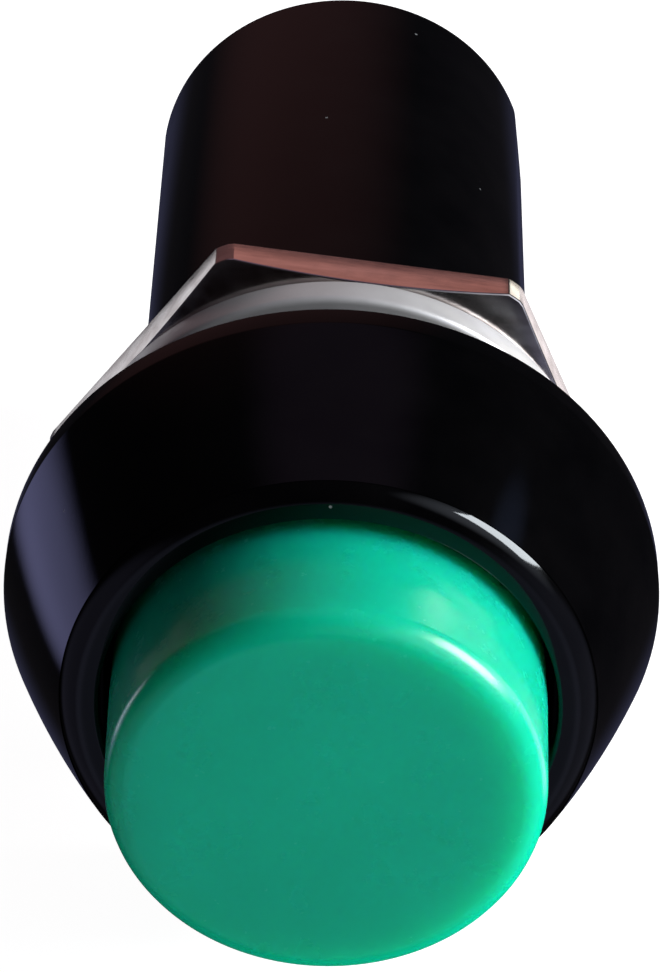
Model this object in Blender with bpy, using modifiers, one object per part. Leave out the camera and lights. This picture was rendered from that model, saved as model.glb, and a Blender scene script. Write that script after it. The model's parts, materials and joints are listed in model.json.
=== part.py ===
"""Panel-mounted momentary push button: a green cap in a coned black bezel, clamped by a hex nut.

Every piece is drawn about its own Z axis, which points out of the front of the panel, with
z = 0 on the flange's rear face. The empty `button_axis` lays that axis along world -Y, so
that the button stands in a vertical panel and is pressed along +Y.
"""

import math

import bmesh
import bpy
from mathutils import Matrix

MM = 0.001

# Clearances
SEAT_GAP = 0.1 * MM
RUNNING_GAP = 0.15 * MM

# Travel
BUTTON_TRAVEL = 3.0 * MM
BRIDGE_TRAVEL = 1.8 * MM

# Bezel: flange, cone and rim
FLANGE_RADIUS = 8.75 * MM
FLANGE_EDGE = 0.75 * MM
FLANGE_CHAMFER = 0.15 * MM
RIM_RADIUS = 6.84 * MM
RIM_HEIGHT = 5.75 * MM
RIM_ROUND = 0.35 * MM
CONE_BULGE = 0.09 * MM
WELL_RADIUS = 5.95 * MM
WELL_FLOOR = 0.9 * MM

# Threaded neck and rear barrel
THREAD_RADIUS = 5.97 * MM
THREAD_PITCH = 0.75 * MM
THREAD_DEPTH = 0.46 * MM
THREAD_FIRST = -0.5 * MM
THREAD_TURNS = 8
BARREL_RADIUS = 5.55 * MM
BARREL_END = -23.5 * MM
BARREL_ROUND = 0.3 * MM
FLAT_DISTANCE = 5.4 * MM
# The two flats are turned this far from the line of the terminals.
FLAT_TURN = math.radians(7)

# Bores inside the housing
NECK_BORE = 4.3 * MM
WEB_FRONT = -7.6 * MM
WEB_REAR = -9.0 * MM
WEB_HOLE = 1.35 * MM
CHAMBER_RADIUS = 4.6 * MM
BASE_BORE = 4.9 * MM
BASE_SHOULDER = -17.6 * MM

# Nut and washer
NUT_ACROSS_FLATS = 14.0 * MM
NUT_THICKNESS = 1.3 * MM
NUT_FACE_RADIUS = 6.85 * MM
NUT_CHAMFER = math.radians(20)
# A flat lies uppermost, and the nut was stopped this far past it when it was tightened.
NUT_TURN = math.radians(30 - 6.6)
NUT_BORE = THREAD_RADIUS + RUNNING_GAP
WASHER_RADIUS = 7.15 * MM
WASHER_FRONT = -3.1 * MM
WASHER_THICKNESS = 1.0 * MM
NUT_FRONT = WASHER_FRONT - WASHER_THICKNESS - SEAT_GAP

# Cap
CAP_RADIUS = 5.67 * MM
CAP_FACE_RADIUS = 5.6 * MM
CAP_FACE = 9.64 * MM
CAP_ROUND = 0.5 * MM
CAP_SKIRT = WELL_FLOOR + BUTTON_TRAVEL + 0.2 * MM
CAP_TOP_THICKNESS = 1.5 * MM

# Plunger
PLUNGER_RADIUS = NECK_BORE - RUNNING_GAP
PLUNGER_TOP = CAP_FACE - CAP_TOP_THICKNESS - SEAT_GAP
SKIRT_INNER = 3.35 * MM
SPRING_POCKET = 1.4 * MM
STEM_RADIUS = 1.2 * MM
STEM_LEAD = 0.3 * MM
STEM_END = -15.1 * MM
GROOVE_RADIUS = 0.85 * MM

# Return spring and its seat
SEAT_THICKNESS = 0.4 * MM
SEAT_FRONT = WEB_FRONT + SEAT_GAP + SEAT_THICKNESS
PLUNGER_SKIRT = SEAT_FRONT + SEAT_GAP + BUTTON_TRAVEL
RETURN_COIL = 2.3 * MM
RETURN_WIRE = 0.24 * MM
RETURN_TURNS = 6

# Clips on the stem
CLIP_THICKNESS = 0.5 * MM
CLIP_SLOT = math.radians(32)  # half of the opening
RETAINING_CLIP_FRONT = WEB_REAR - SEAT_GAP
RETAINING_CLIP_RADIUS = 2.3 * MM
BRIDGE_CLIP_RADIUS = 2.0 * MM

# Contact spring, its washer and the moving bridge
CONTACT_WASHER_THICKNESS = 0.3 * MM
CONTACT_WASHER_FRONT = RETAINING_CLIP_FRONT - CLIP_THICKNESS - SEAT_GAP
CONTACT_WASHER_RADIUS = 2.6 * MM
CONTACT_WASHER_REAR = CONTACT_WASHER_FRONT - CONTACT_WASHER_THICKNESS
CONTACT_COIL = 1.9 * MM
CONTACT_WIRE = 0.17 * MM
CONTACT_TURNS = 4
BRIDGE_FRONT = -13.4 * MM
BRIDGE_THICKNESS = 0.5 * MM
BRIDGE_HALF_WIDTH = 1.1 * MM
BRIDGE_HALF_LENGTH = 4.2 * MM
BRIDGE_EYE_RADIUS = 2.25 * MM
BRIDGE_REAR = BRIDGE_FRONT - BRIDGE_THICKNESS
BRIDGE_CLIP_FRONT = BRIDGE_REAR - SEAT_GAP

# Contacts, rivets and terminals, at CONTACT_X each side of the axis
CONTACT_X = 3.2 * MM
CONTACT_RADIUS = 0.9 * MM
CONTACT_THICKNESS = 0.45 * MM
MOVING_CONTACT_REAR = BRIDGE_REAR - SEAT_GAP - CONTACT_THICKNESS
FIXED_CONTACT_TOP = MOVING_CONTACT_REAR - BRIDGE_TRAVEL - SEAT_GAP
RIVET_SHANK = 0.55 * MM
RIVET_HOLE = RIVET_SHANK + RUNNING_GAP
RIVET_CROWN = 0.25 * MM
RIVET_TAIL_RADIUS = 0.8 * MM
RIVET_TAIL_HEIGHT = 0.35 * MM

# Terminal base, its ring and the solder terminals
BASE_RADIUS = BASE_BORE - RUNNING_GAP
BASE_FRONT = BASE_SHOULDER - SEAT_GAP
BASE_REAR = -22.1 * MM
BASE_RECESS_RADIUS = 2.3 * MM
BASE_RECESS_FLOOR = -19.2 * MM
RING_INNER = 4.35 * MM
RING_THICKNESS = 0.6 * MM
TERMINAL_THICKNESS = 0.5 * MM
TERMINAL_HALF_WIDTH = 1.1 * MM
TERMINAL_INNER_X = 1.5 * MM
TERMINAL_OUTER_X = 4.1 * MM
TERMINAL_FRONT = BASE_REAR - SEAT_GAP
TERMINAL_END = -29.1 * MM
EYELET_RADIUS = 0.65 * MM
EYELET_FROM_END = 1.7 * MM

SEGMENTS = 48
SMALL_SEGMENTS = 28


def start_scene():
    """An empty scene with one collection for the parts and a hidden one for the cutters."""
    for old in list(bpy.data.objects):
        bpy.data.objects.remove(old)
    parts = bpy.data.collections.new("push_button")
    cutters = bpy.data.collections.new("cutters")
    for collection in (parts, cutters):
        bpy.context.scene.collection.children.link(collection)
    axis = bpy.data.objects.new("button_axis", None)
    axis.rotation_euler = (math.radians(90), 0, 0)
    parts.objects.link(axis)
    return parts, cutters, axis


def material(name, colour, roughness, metallic=0.0):
    made = bpy.data.materials.new(name)
    made.use_nodes = True
    shader = made.node_tree.nodes["Principled BSDF"]
    shader.inputs["Base Color"].default_value = (*colour, 1.0)
    shader.inputs["Roughness"].default_value = roughness
    shader.inputs["Metallic"].default_value = metallic
    return made


def place(obj, look, location=(0, 0, 0), turn=0.0):
    """Puts a finished part on the button's axis, in the parts' collection."""
    PARTS.objects.link(obj)
    obj.parent = AXIS
    obj.location = location
    obj.rotation_euler = (0, 0, turn)
    obj.data.materials.append(look)
    return obj


def helper(obj, location=(0, 0, 0)):
    """Puts a cutter on the button's axis, out of the render."""
    CUTTERS.objects.link(obj)
    obj.parent = AXIS
    obj.location = location
    obj.hide_render = True
    obj.display_type = "WIRE"
    return obj


def arc(centre_r, centre_z, radius, start_deg, end_deg, steps):
    """Points of a round edge in a turned profile, from one angle to the other."""
    points = []
    for step in range(steps + 1):
        angle = math.radians(start_deg + (end_deg - start_deg) * step / steps)
        points.append((centre_r + radius * math.cos(angle), centre_z + radius * math.sin(angle)))
    return points


def turned(name, profile, ring=False, segments=SEGMENTS):
    """A profile of (radius, z) points, outer side downwards, swept once round Z."""
    verts = [(radius, 0, z) for radius, z in profile]
    edges = [(i, i + 1) for i in range(len(verts) - 1)]
    if ring:
        edges.append((len(verts) - 1, 0))
    mesh = bpy.data.meshes.new(name)
    mesh.from_pydata(verts, edges, [])
    obj = bpy.data.objects.new(name, mesh)
    screw = obj.modifiers.new("turn", "SCREW")
    screw.steps = segments
    screw.render_steps = segments
    screw.use_merge_vertices = True
    screw.merge_threshold = 0.01 * MM
    screw.use_smooth_shade = True
    return obj


def flat_ring(name, inner, outer, front, thickness, segments=SEGMENTS):
    rear = front - thickness
    profile = [(inner, front), (outer, front), (outer, rear), (inner, rear)]
    return turned(name, profile, ring=True, segments=segments)


def prism(name, sides, radius, front, rear):
    """A straight prism or cylinder along Z between two heights."""
    mesh = bpy.data.meshes.new(name)
    bm = bmesh.new()
    middle = Matrix.Translation((0, 0, (front + rear) / 2))
    bmesh.ops.create_cone(bm, cap_ends=True, segments=sides, radius1=radius, radius2=radius,
                          depth=front - rear, matrix=middle)
    bm.to_mesh(mesh)
    bm.free()
    return bpy.data.objects.new(name, mesh)


def box(name, low, high):
    mesh = bpy.data.meshes.new(name)
    bm = bmesh.new()
    size = [b - a for a, b in zip(low, high)]
    centre = [(a + b) / 2 for a, b in zip(low, high)]
    bmesh.ops.create_cube(bm, size=1.0, matrix=Matrix.Translation(centre) @ Matrix.Diagonal((*size, 1.0)))
    bm.to_mesh(mesh)
    bm.free()
    return bpy.data.objects.new(name, mesh)


def outline(name, loops, thickness):
    """A flat piece, centred on z = 0, from closed loops of (x, y) points; a second loop is a hole."""
    curve = bpy.data.curves.new(name, "CURVE")
    curve.dimensions = "2D"
    curve.fill_mode = "BOTH"
    curve.extrude = thickness / 2
    for loop in loops:
        spline = curve.splines.new("POLY")
        spline.points.add(len(loop) - 1)
        for point, (x, y) in zip(spline.points, loop):
            point.co = (x, y, 0, 1)
        spline.use_cyclic_u = True
    return bpy.data.objects.new(name, curve)


def as_mesh(obj):
    """The same flat piece as a welded mesh, which a Boolean can take."""
    bpy.context.scene.collection.objects.link(obj)
    bpy.context.view_layer.update()
    mesh = bpy.data.meshes.new_from_object(obj.evaluated_get(bpy.context.evaluated_depsgraph_get()))
    name = obj.name
    bpy.data.objects.remove(obj)
    bm = bmesh.new()
    bm.from_mesh(mesh)
    bmesh.ops.remove_doubles(bm, verts=bm.verts, dist=0.001 * MM)
    bm.to_mesh(mesh)
    bm.free()
    return bpy.data.objects.new(name, mesh)


def boolean(obj, other, operation="DIFFERENCE"):
    cut = obj.modifiers.new(other.name, "BOOLEAN")
    cut.operation = operation
    cut.object = other


def circle_points(radius, start=0.0, end=2 * math.pi, steps=SMALL_SEGMENTS, centre=(0, 0)):
    """Points on an arc; a whole circle leaves out its repeated last point."""
    whole = math.isclose(end - start, 2 * math.pi)
    count = steps if whole else steps + 1
    angles = [start + (end - start) * step / steps for step in range(count)]
    return [(centre[0] + radius * math.cos(a), centre[1] + radius * math.sin(a)) for a in angles]


def coil(name, radius, wire, turns, front, rear):
    """A compression spring with a flat turn at each end, wound between two heights."""
    steps = 16
    dead = 0.75
    low = rear + wire
    high = front - wire
    live = turns - 2 * dead
    curve = bpy.data.curves.new(name, "CURVE")
    curve.dimensions = "3D"
    curve.bevel_depth = wire
    curve.bevel_resolution = 2
    curve.use_fill_caps = True
    spline = curve.splines.new("POLY")
    count = int(turns * steps) + 1
    spline.points.add(count - 1)
    end_rise = 2.2 * wire
    for index in range(count):
        turn = index / steps
        if turn < dead:
            z = low + end_rise * turn
        elif turn > turns - dead:
            z = high - end_rise * (turns - turn)
        else:
            share = (turn - dead) / live
            z = low + end_rise * dead + (high - low - 2 * end_rise * dead) * share
        angle = 2 * math.pi * turn
        spline.points[index].co = (radius * math.cos(angle), radius * math.sin(angle), z, 1)
    return bpy.data.objects.new(name, curve)


def thread_profile():
    """Ridges of the neck's fine thread, from the front one to the rear one."""
    root = THREAD_RADIUS - THREAD_DEPTH
    flank = THREAD_DEPTH * math.tan(math.radians(30))
    crest = THREAD_PITCH / 8
    points = []
    for turn in range(THREAD_TURNS):
        z = THREAD_FIRST - turn * THREAD_PITCH
        points.append((root, z))
        points.append((THREAD_RADIUS, z - flank))
        points.append((THREAD_RADIUS, z - flank - crest))
        points.append((root, z - 2 * flank - crest))
    return points


def bezel_profile():
    """The front of the housing, from the well's edge over the rim and cone to the rear face."""
    rim = arc(RIM_RADIUS - RIM_ROUND, RIM_HEIGHT - RIM_ROUND, RIM_ROUND, 90, 20, 4)
    start_r, start_z = rim[-1]
    run = FLANGE_RADIUS - start_r
    drop = start_z - FLANGE_EDGE
    length = math.hypot(run, drop)
    cone = []
    for step in range(1, 6):
        share = step / 6
        swell = CONE_BULGE * 4 * share * (1 - share)
        cone.append((start_r + run * share + swell * drop / length,
                     start_z - drop * share + swell * run / length))
    edge = [(FLANGE_RADIUS, FLANGE_EDGE), (FLANGE_RADIUS, FLANGE_CHAMFER),
            (FLANGE_RADIUS - FLANGE_CHAMFER, 0)]
    return rim + cone + edge


def housing():
    neck_root = THREAD_RADIUS - THREAD_DEPTH
    profile = bezel_profile()
    profile += [(neck_root, 0)]
    profile += thread_profile()
    profile += arc(BARREL_RADIUS - BARREL_ROUND, BARREL_END + BARREL_ROUND, BARREL_ROUND, 0, -90, 3)
    profile += [(BASE_BORE, BARREL_END), (BASE_BORE, BASE_SHOULDER), (CHAMBER_RADIUS, BASE_SHOULDER),
                (CHAMBER_RADIUS, WEB_REAR), (WEB_HOLE, WEB_REAR), (WEB_HOLE, WEB_FRONT),
                (NECK_BORE, WEB_FRONT), (NECK_BORE, WELL_FLOOR), (WELL_RADIUS, WELL_FLOOR),
                (WELL_RADIUS, RIM_HEIGHT)]
    body = place(turned("housing", profile, ring=True), BLACK_PLASTIC)
    for side in (-1, 1):
        near = side * FLAT_DISTANCE
        far = side * (THREAD_RADIUS + 1 * MM)
        reach = THREAD_RADIUS + 1 * MM
        cutter = box(f"flat_cutter_{side}", (min(near, far), -reach, BARREL_END - 1 * MM),
                     (max(near, far), reach, THREAD_FIRST))
        cutter.data.transform(Matrix.Rotation(FLAT_TURN, 4, "Z"))
        boolean(body, helper(cutter))


def hex_nut():
    """A thin hexagon nut whose front corners are taken off by a shallow cone."""
    corner = NUT_ACROSS_FLATS / math.sqrt(3)
    rear = NUT_FRONT - NUT_THICKNESS
    reach = corner + 1 * MM
    shoulder = NUT_FRONT - (reach - NUT_FACE_RADIUS) * math.tan(NUT_CHAMFER)
    envelope = [(NUT_FACE_RADIUS, NUT_FRONT), (reach, shoulder), (reach, rear), (NUT_BORE, rear),
                (NUT_BORE, NUT_FRONT)]
    blank = prism("hex_nut", 6, corner, NUT_FRONT + 1 * MM, rear - 1 * MM)
    nut = place(blank, NICKEL, turn=NUT_TURN)
    boolean(nut, helper(turned("nut_envelope", envelope, ring=True)), "INTERSECT")


def panel_washer():
    washer = flat_ring("panel_washer", NUT_BORE, WASHER_RADIUS, WASHER_FRONT, WASHER_THICKNESS)
    place(washer, NICKEL)


def button_cap():
    """A hollow cap with a drafted side and a rounded edge round its flat face."""
    inner = PLUNGER_RADIUS + RUNNING_GAP
    profile = [(0, CAP_FACE)]
    profile += arc(CAP_FACE_RADIUS - CAP_ROUND, CAP_FACE - CAP_ROUND, CAP_ROUND, 90, 0, 6)
    profile += [(CAP_RADIUS, RIM_HEIGHT), (CAP_RADIUS, CAP_SKIRT), (inner, CAP_SKIRT),
                (inner, CAP_FACE - CAP_TOP_THICKNESS), (0, CAP_FACE - CAP_TOP_THICKNESS)]
    place(turned("button_cap", profile), GREEN_PLASTIC)


def clip_groove(front):
    """The stem's profile across a groove that holds a clip of this front height."""
    slack = 0.5 * SEAT_GAP
    top = front + slack
    bottom = front - CLIP_THICKNESS - slack
    return [(STEM_RADIUS, top), (GROOVE_RADIUS, top), (GROOVE_RADIUS, bottom), (STEM_RADIUS, bottom)]


def plunger():
    """The cap's carrier: a guided skirt round the return spring, and a stem with two clip grooves."""
    profile = [(0, PLUNGER_TOP), (PLUNGER_RADIUS - STEM_LEAD, PLUNGER_TOP),
               (PLUNGER_RADIUS, PLUNGER_TOP - STEM_LEAD), (PLUNGER_RADIUS, PLUNGER_SKIRT),
               (SKIRT_INNER, PLUNGER_SKIRT), (SKIRT_INNER, SPRING_POCKET),
               (STEM_RADIUS, SPRING_POCKET)]
    profile += clip_groove(RETAINING_CLIP_FRONT)
    profile += clip_groove(BRIDGE_CLIP_FRONT)
    profile += [(STEM_RADIUS, STEM_END + STEM_LEAD), (STEM_RADIUS - STEM_LEAD, STEM_END), (0, STEM_END)]
    place(turned("plunger", profile, segments=40), WHITE_NYLON)


def return_spring():
    spring = coil("return_spring", RETURN_COIL, RETURN_WIRE, RETURN_TURNS,
                  SPRING_POCKET - SEAT_GAP, SEAT_FRONT + SEAT_GAP)
    place(spring, SPRING_STEEL)
    seat = flat_ring("spring_seat", WEB_HOLE + RUNNING_GAP, PLUNGER_RADIUS, SEAT_FRONT,
                     SEAT_THICKNESS, SMALL_SEGMENTS)
    place(seat, STEEL)


def stem_clip(name, radius, front):
    """An open clip that snaps into a groove of the stem from one side."""
    far_side = 2 * math.pi - CLIP_SLOT
    outer = circle_points(radius, CLIP_SLOT, far_side)
    inner = circle_points(GROOVE_RADIUS + SEAT_GAP, far_side, CLIP_SLOT)
    clip = outline(name, [outer + inner], CLIP_THICKNESS)
    place(clip, SPRING_STEEL, (0, 0, front - CLIP_THICKNESS / 2), math.radians(-90))


def contact_spring():
    washer = flat_ring("contact_washer", STEM_RADIUS + SEAT_GAP, CONTACT_WASHER_RADIUS, CONTACT_WASHER_FRONT,
                       CONTACT_WASHER_THICKNESS, SMALL_SEGMENTS)
    place(washer, STEEL)
    spring = coil("contact_spring", CONTACT_COIL, CONTACT_WIRE, CONTACT_TURNS,
                  CONTACT_WASHER_REAR - SEAT_GAP, BRIDGE_FRONT + SEAT_GAP)
    place(spring, SPRING_STEEL)


def contact_bridge():
    """A brass strip with round ends and a wider eye, loose on the stem, with a contact at each end."""
    straight = BRIDGE_HALF_LENGTH - BRIDGE_HALF_WIDTH
    half_turn = math.pi / 2
    strip = circle_points(BRIDGE_HALF_WIDTH, -half_turn, half_turn, 10, (straight, 0))
    strip += circle_points(BRIDGE_HALF_WIDTH, half_turn, 3 * half_turn, 10, (-straight, 0))
    eye = circle_points(BRIDGE_EYE_RADIUS, steps=40)
    hole = circle_points(STEM_RADIUS + RUNNING_GAP, steps=24)
    bridge = as_mesh(outline("contact_bridge", [strip], BRIDGE_THICKNESS))
    place(bridge, BRASS, (0, 0, BRIDGE_FRONT - BRIDGE_THICKNESS / 2))
    middle = as_mesh(outline("bridge_eye", [eye], BRIDGE_THICKNESS))
    bore = as_mesh(outline("bridge_bore", [hole], 3 * BRIDGE_THICKNESS))
    boolean(bridge, helper(middle, bridge.location), "UNION")
    boolean(bridge, helper(bore, bridge.location))
    front = BRIDGE_REAR - SEAT_GAP
    profile = [(0, front), (CONTACT_RADIUS, front), (CONTACT_RADIUS, front - 0.6 * CONTACT_THICKNESS),
               (0.7 * CONTACT_RADIUS, front - CONTACT_THICKNESS), (0, front - CONTACT_THICKNESS)]
    for side_name, side in SIDES:
        contact = turned(f"bridge_contact_{side_name}", profile, segments=20)
        place(contact, SILVER, (side * CONTACT_X, 0, 0))


def terminal_base():
    """The plug that closes the barrel: a recess for the stem's end and a hole for each rivet."""
    profile = [(0, BASE_RECESS_FLOOR), (BASE_RECESS_RADIUS, BASE_RECESS_FLOOR),
               (BASE_RECESS_RADIUS, BASE_FRONT), (BASE_RADIUS, BASE_FRONT), (BASE_RADIUS, BASE_REAR),
               (0, BASE_REAR)]
    base = place(turned("terminal_base", profile), BROWN_PHENOLIC)
    for side_name, side in SIDES:
        hole = prism(f"rivet_hole_{side_name}", 20, RIVET_HOLE, BASE_FRONT + 1 * MM, BASE_REAR - 1 * MM)
        boolean(base, helper(hole, (side * CONTACT_X, 0, 0)))
    ring = flat_ring("rear_ring", RING_INNER, BASE_RADIUS, BASE_REAR - SEAT_GAP, RING_THICKNESS)
    place(ring, STEEL)


def contact_rivets():
    """Each rivet's inner head is the fixed contact, and its tail holds the solder terminal."""
    head_rear = BASE_FRONT + SEAT_GAP
    tail_front = TERMINAL_FRONT - TERMINAL_THICKNESS - SEAT_GAP
    profile = [(0, FIXED_CONTACT_TOP), (0.6 * CONTACT_RADIUS, FIXED_CONTACT_TOP),
               (CONTACT_RADIUS, FIXED_CONTACT_TOP - RIVET_CROWN), (CONTACT_RADIUS, head_rear),
               (RIVET_SHANK, head_rear), (RIVET_SHANK, tail_front), (RIVET_TAIL_RADIUS, tail_front),
               (0.7 * RIVET_TAIL_RADIUS, tail_front - RIVET_TAIL_HEIGHT),
               (0, tail_front - RIVET_TAIL_HEIGHT)]
    for side_name, side in SIDES:
        rivet = turned(f"contact_rivet_{side_name}", profile, segments=20)
        place(rivet, SILVER, (side * CONTACT_X, 0, 0))


def solder_terminals():
    """An L-shaped lug each side: a foot under the rivet and a blade with a round end and an eyelet."""
    blade_length = TERMINAL_FRONT - TERMINAL_END
    tip = blade_length - TERMINAL_HALF_WIDTH
    blade_loop = [(0, TERMINAL_HALF_WIDTH), (0, -TERMINAL_HALF_WIDTH)]
    blade_loop += circle_points(TERMINAL_HALF_WIDTH, -math.pi / 2, math.pi / 2, 12, (tip, 0))
    eyelet = circle_points(EYELET_RADIUS, steps=20, centre=(blade_length - EYELET_FROM_END, 0))
    for side_name, side in SIDES:
        blade = as_mesh(outline(f"solder_terminal_{side_name}", [blade_loop, eyelet], TERMINAL_THICKNESS))
        # The outline's X runs rearwards along the blade, and its thickness lies along the part's X.
        place(blade, TINNED_BRASS, (side * (TERMINAL_INNER_X + TERMINAL_THICKNESS / 2), 0, TERMINAL_FRONT))
        blade.rotation_euler = (0, math.radians(90), 0)
        inner = side * (TERMINAL_INNER_X + 0.1 * MM)
        outer = side * TERMINAL_OUTER_X
        foot = box(f"foot_{side_name}",
                   (min(inner, outer), -TERMINAL_HALF_WIDTH, TERMINAL_FRONT - TERMINAL_THICKNESS),
                   (max(inner, outer), TERMINAL_HALF_WIDTH, TERMINAL_FRONT))
        boolean(blade, helper(foot), "UNION")
        hole = prism(f"lug_hole_{side_name}", 20, RIVET_HOLE, TERMINAL_FRONT + 1 * MM,
                     TERMINAL_FRONT - TERMINAL_THICKNESS - 1 * MM)
        boolean(blade, helper(hole, (side * CONTACT_X, 0, 0)))


PARTS, CUTTERS, AXIS = start_scene()
SIDES = (("left", -1), ("right", 1))

BLACK_PLASTIC = material("black_plastic", (0.008, 0.008, 0.010), 0.12)
GREEN_PLASTIC = material("green_plastic", (0.010, 0.240, 0.140), 0.18)
WHITE_NYLON = material("white_nylon", (0.75, 0.74, 0.69), 0.45)
BROWN_PHENOLIC = material("brown_phenolic", (0.10, 0.035, 0.015), 0.4)
NICKEL = material("nickel_plate", (0.62, 0.59, 0.55), 0.18, 1.0)
STEEL = material("steel", (0.50, 0.50, 0.51), 0.3, 1.0)
SPRING_STEEL = material("spring_steel", (0.42, 0.42, 0.43), 0.25, 1.0)
BRASS = material("brass", (0.72, 0.50, 0.20), 0.25, 1.0)
TINNED_BRASS = material("tinned_brass", (0.68, 0.66, 0.61), 0.3, 1.0)
SILVER = material("silver", (0.80, 0.79, 0.76), 0.22, 1.0)

housing()
panel_washer()
hex_nut()
button_cap()
plunger()
return_spring()
stem_clip("retaining_clip", RETAINING_CLIP_RADIUS, RETAINING_CLIP_FRONT)
contact_spring()
contact_bridge()
stem_clip("bridge_clip", BRIDGE_CLIP_RADIUS, BRIDGE_CLIP_FRONT)
terminal_base()
contact_rivets()
solder_terminals()
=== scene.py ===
"""Looks of the panel-mounted push button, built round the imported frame.

The button's axis is world Y: the cap faces -Y, the panel plane is y = 0, and the barrel and
the solder terminals lie behind it. Turned pieces are drawn as (radius, y) profiles.
"""

import json
import math

import bmesh
import bpy
from mathutils import Matrix, Quaternion, Vector


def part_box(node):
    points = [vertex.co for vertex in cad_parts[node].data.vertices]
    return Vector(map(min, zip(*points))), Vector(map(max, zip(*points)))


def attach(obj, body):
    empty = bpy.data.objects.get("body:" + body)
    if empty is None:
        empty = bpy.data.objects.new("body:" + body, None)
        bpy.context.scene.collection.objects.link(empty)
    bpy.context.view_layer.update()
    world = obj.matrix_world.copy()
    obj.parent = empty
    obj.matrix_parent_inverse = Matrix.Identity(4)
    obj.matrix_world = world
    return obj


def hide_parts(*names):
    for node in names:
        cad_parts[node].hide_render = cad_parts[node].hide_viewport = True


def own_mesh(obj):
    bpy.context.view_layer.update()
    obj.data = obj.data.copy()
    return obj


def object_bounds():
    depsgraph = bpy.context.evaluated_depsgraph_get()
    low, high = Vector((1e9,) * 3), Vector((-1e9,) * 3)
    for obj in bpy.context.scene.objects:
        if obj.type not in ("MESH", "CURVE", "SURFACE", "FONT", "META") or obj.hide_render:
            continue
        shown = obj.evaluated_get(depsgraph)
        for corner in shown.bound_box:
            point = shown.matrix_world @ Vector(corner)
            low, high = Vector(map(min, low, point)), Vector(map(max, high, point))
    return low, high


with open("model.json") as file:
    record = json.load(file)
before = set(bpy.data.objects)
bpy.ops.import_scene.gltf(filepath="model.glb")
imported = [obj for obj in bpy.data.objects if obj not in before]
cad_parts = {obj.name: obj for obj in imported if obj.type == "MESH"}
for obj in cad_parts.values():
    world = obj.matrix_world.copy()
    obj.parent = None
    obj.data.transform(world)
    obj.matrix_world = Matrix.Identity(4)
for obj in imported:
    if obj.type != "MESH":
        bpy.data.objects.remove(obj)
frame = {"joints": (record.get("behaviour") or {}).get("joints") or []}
CAD_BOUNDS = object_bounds()

MM = 0.001
FULL_TURN = 2 * math.pi
QUARTER_TURN = math.pi / 2
TINY = 1e-9


# ---------------------------------------------------------------- sizes read from the frame

def radius_of(node):
    """Outer radius of a CAD piece that is centred on the button's axis."""
    low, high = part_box(node)
    return max(high.x, -low.x)


def span_of(node):
    """Front and rear of a CAD piece along the button's axis."""
    low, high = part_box(node)
    return low.y, high.y


FLANGE_RADIUS = radius_of("housing")
RIM_FRONT, BARREL_END = span_of("housing")
CAP_RADIUS = radius_of("button_cap")
CAP_FACE, CAP_SKIRT = span_of("button_cap")
PLUNGER_RADIUS = radius_of("plunger")
PLUNGER_TOP, STEM_END = span_of("plunger")
SEAT_FRONT = span_of("spring_seat")[0]
NUT_FRONT, NUT_REAR = span_of("hex_nut")
BASE_FRONT, BASE_REAR = span_of("terminal_base")
BASE_RADIUS = radius_of("terminal_base")
BRIDGE_FRONT, BRIDGE_REAR = span_of("contact_bridge")
CONTACT_X = (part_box("contact_rivet_right")[0].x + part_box("contact_rivet_right")[1].x) / 2
BUTTON_TRAVEL = next(j for j in frame["joints"] if j["name"] == "button_press")["range_m"][1]

# Gaps between pieces that touch, and between pieces that slide
SEAT_GAP = 0.1 * MM
RUNNING_GAP = 0.15 * MM

# Bezel details
FLANGE_EDGE = 0.75 * MM
RIM_RADIUS = 6.84 * MM
RIM_ROUND = 0.75 * MM
CONE_SWELL = 0.09 * MM
CONE_STEPS = 16
WELL_RADIUS = 5.95 * MM
WELL_FLOOR = -0.9 * MM

# Threaded neck and barrel
THREAD_RADIUS = 5.97 * MM
THREAD_DEPTH = 0.46 * MM
THREAD_PITCH = 0.75 * MM
THREAD_START = 0.5 * MM
THREAD_END = 6.6 * MM
THREAD_CREST = 0.125  # of a pitch
THREAD_HALF_ANGLE = math.radians(30)
ROWS_PER_PITCH = 12
BARREL_RADIUS = 5.55 * MM
FLAT_DISTANCE = 5.4 * MM
FLAT_TURN = math.radians(7)

# Bores in the housing
NECK_BORE = 4.3 * MM
WEB_FRONT = 7.6 * MM
WEB_REAR = 9.0 * MM
WEB_HOLE = 1.35 * MM
CHAMBER_RADIUS = 4.6 * MM
BASE_BORE = 4.9 * MM
BASE_SHOULDER = 17.6 * MM

# Nut
NUT_ACROSS_FLATS = 14.0 * MM
NUT_BORE = 6.12 * MM
NUT_FACE_RADIUS = 6.85 * MM
NUT_CHAMFER = math.radians(20)
NUT_TURN = math.radians(-6.6)
NUT_CORNER_SHARE = 0.985  # how much of each sharp corner's reach is left

# Cap
CAP_FACE_RADIUS = 5.6 * MM
CAP_CROWN = 0.03 * MM
CAP_ROUND = 0.68 * MM
CAP_TOP_THICKNESS = 1.5 * MM

# Stem, springs and small parts
STEM_RADIUS = 1.2 * MM
GROOVE_RADIUS = 0.85 * MM
SKIRT_INNER = 3.35 * MM
SPRING_POCKET = -1.4 * MM
PLUNGER_SKIRT = SEAT_FRONT - SEAT_GAP - BUTTON_TRAVEL
RETURN_COIL = 2.3 * MM
RETURN_WIRE = 0.24 * MM
CONTACT_COIL = 1.9 * MM
CONTACT_WIRE = 0.17 * MM
CLIP_HALF_SLOT = math.radians(32)
RIVET_SHANK = 0.55 * MM
RIVET_HOLE = 0.7 * MM
REAR_RING_BORE = 4.35 * MM
RETURN_TURNS = 6
CONTACT_TURNS = 4
BASE_RECESS_RADIUS = 2.3 * MM
BASE_RECESS_FLOOR = 19.2 * MM
TERMINAL_THICKNESS = 0.5 * MM
TERMINAL_BEND = 0.35 * MM
FOOT_STEPS, BEND_STEPS, BLADE_STEPS, TIP_STEPS = 8, 8, 10, 14
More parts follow.
